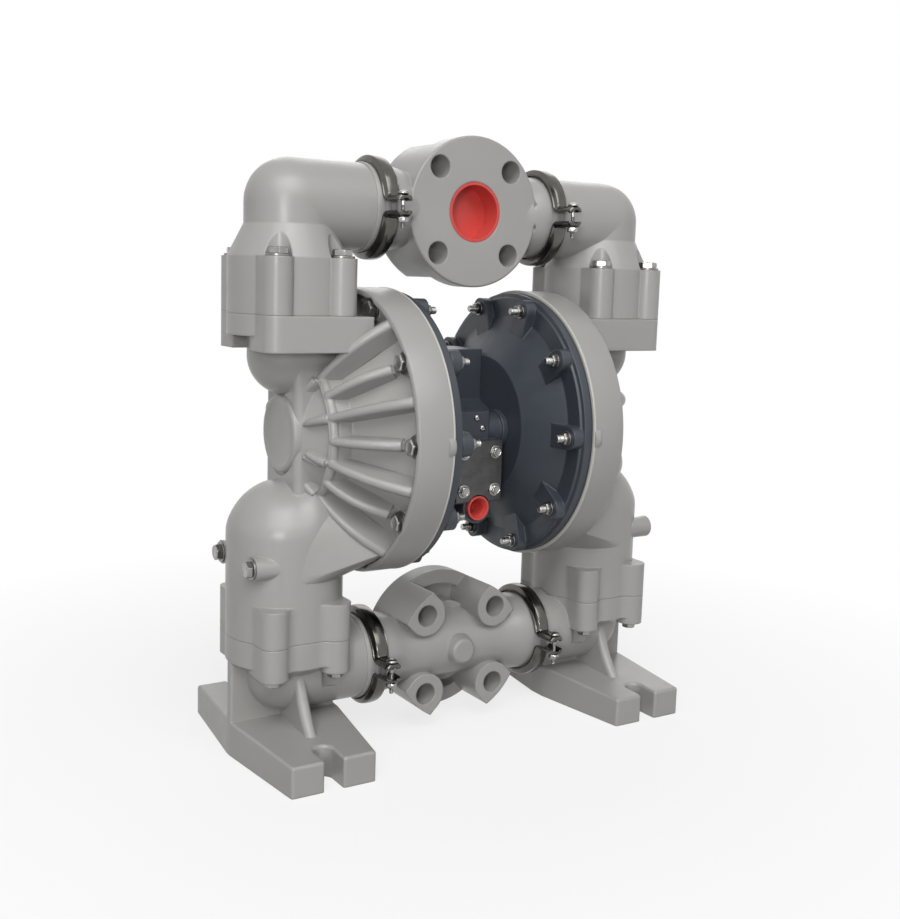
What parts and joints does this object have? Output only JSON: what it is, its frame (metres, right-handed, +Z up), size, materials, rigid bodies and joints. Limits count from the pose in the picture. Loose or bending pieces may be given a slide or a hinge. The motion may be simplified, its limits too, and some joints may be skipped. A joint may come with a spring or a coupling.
{
  "type": "air operated diaphragm pump",
  "caption": "Air operated double diaphragm pump with ribbed twin chambers, flanged discharge and suction tees on band clamps, a central air valve and slotted feet.",
  "frame": {"origin": "on the floor under the middle of the pump", "axes": "+Z up, +X along the diaphragm rod, -Y towards the side that the discharge flange faces"},
  "size_m": [0.498, 0.296, 0.6222],
  "materials": {
    "grey": "satin moulded polypropylene",
    "dark": "matt glass-filled polypropylene, blue-grey",
    "red": "soft polyethylene transport caps",
    "steel": "plain stainless steel, bright",
    "clamp_steel": "pressed stainless steel, polished",
    "cover_metal": "dark coated plate",
    "rubber": "moulded elastomer",
    "seat_plastic": "machined white plastic",
    "aluminium": "turned",
    "black": "moulded black plastic"
  },
  "bodies": {
    "housing": {"left_fluid_cap": "grey", "right_fluid_cap": "grey", "left_discharge_elbow": "grey", "right_discharge_elbow": "grey", "left_foot_elbow": "grey", "right_foot_elbow": "grey", "left_air_cap": "dark", "right_air_cap": "dark", "center_body": "dark", "air_valve_body": "dark", "air_inlet_plug": "red", "left_chamber_bolts": "steel", "right_chamber_bolts": "steel", "left_chamber_washers": "steel", "right_chamber_washers": "steel", "left_chamber_nuts": "steel", "right_chamber_nuts": "steel", "discharge_bolts": "steel", "discharge_washers": "steel", "suction_bolts": "steel", "suction_washers": "steel", "drain_screws": "steel", "drain_screw_washers": "steel", "clamp_bolts": "steel", "clamp_nuts": "steel", "cover_screws": "steel", "left_discharge_clamp": "clamp_steel", "right_discharge_clamp": "clamp_steel", "left_suction_clamp": "clamp_steel", "right_suction_clamp": "clamp_steel", "air_valve_cover": "cover_metal", "left_diaphragm": "rubber", "right_diaphragm": "rubber", "discharge_seat_seals": "rubber", "suction_seat_seals": "rubber", "left_suction_ball_seat": "seat_plastic", "right_suction_ball_seat": "seat_plastic", "left_discharge_ball_seat": "seat_plastic", "right_discharge_ball_seat": "seat_plastic", "rod_bushes": "seat_plastic", "exhaust_muffler": "black"},
    "diaphragm_rod_set": {"diaphragm_rod": "steel", "left_inner_diaphragm_plate": "aluminium", "right_inner_diaphragm_plate": "aluminium", "left_outer_diaphragm_plate": "aluminium", "right_outer_diaphragm_plate": "aluminium"},
    "pilot_pin": {"pilot_pin": "steel"},
    "air_valve_spool": {"air_valve_spool": "seat_plastic"},
    "discharge_manifold": {"discharge_tee": "grey", "discharge_flange_cap": "red"},
    "suction_manifold": {"suction_tee": "grey", "suction_flange_cap": "red"},
    "left_suction_ball": {"left_suction_ball": "rubber"},
    "right_suction_ball": {"right_suction_ball": "rubber"},
    "left_discharge_ball": {"left_discharge_ball": "rubber"},
    "right_discharge_ball": {"right_discharge_ball": "rubber"}
  },
  "joints": [
    {"name": "rod_slide", "type": "slide", "parent": "housing", "child": "diaphragm_rod_set", "axis": [1, 0, 0], "range_m": [-0.015, 0.015], "deforming": ["left_diaphragm", "right_diaphragm"]},
    {"name": "pilot_slide", "type": "slide", "parent": "housing", "child": "pilot_pin", "axis": [1, 0, 0], "range_m": [-0.0035, 0.0035]},
    {"name": "spool_slide", "type": "slide", "parent": "housing", "child": "air_valve_spool", "axis": [1, 0, 0], "range_m": [-0.008, 0.008]},
    {"name": "discharge_swivel", "type": "hinge", "parent": "housing", "child": "discharge_manifold", "pos_m": [0, 0, 0.546], "axis": [-1, 0, 0], "range_deg": [0, 180]},
    {"name": "suction_swivel", "type": "hinge", "parent": "housing", "child": "suction_manifold", "pos_m": [0, 0, 0.083], "axis": [1, 0, 0], "range_deg": [0, 180]},
    {"name": "left_suction_ball_lift", "type": "slide", "parent": "housing", "child": "left_suction_ball", "axis": [0, 0, 1], "range_m": [0, 0.012]},
    {"name": "right_suction_ball_lift", "type": "slide", "parent": "housing", "child": "right_suction_ball", "axis": [0, 0, 1], "range_m": [0, 0.012]},
    {"name": "left_discharge_ball_lift", "type": "slide", "parent": "housing", "child": "left_discharge_ball", "axis": [0, 0, 1], "range_m": [0, 0.012]},
    {"name": "right_discharge_ball_lift", "type": "slide", "parent": "housing", "child": "right_discharge_ball", "axis": [0, 0, 1], "range_m": [0, 0.012]}
  ],
  "couplings": [
    {"joint": "pilot_slide", "follows": "rod_slide", "ratio": 0.23333}
  ]
}
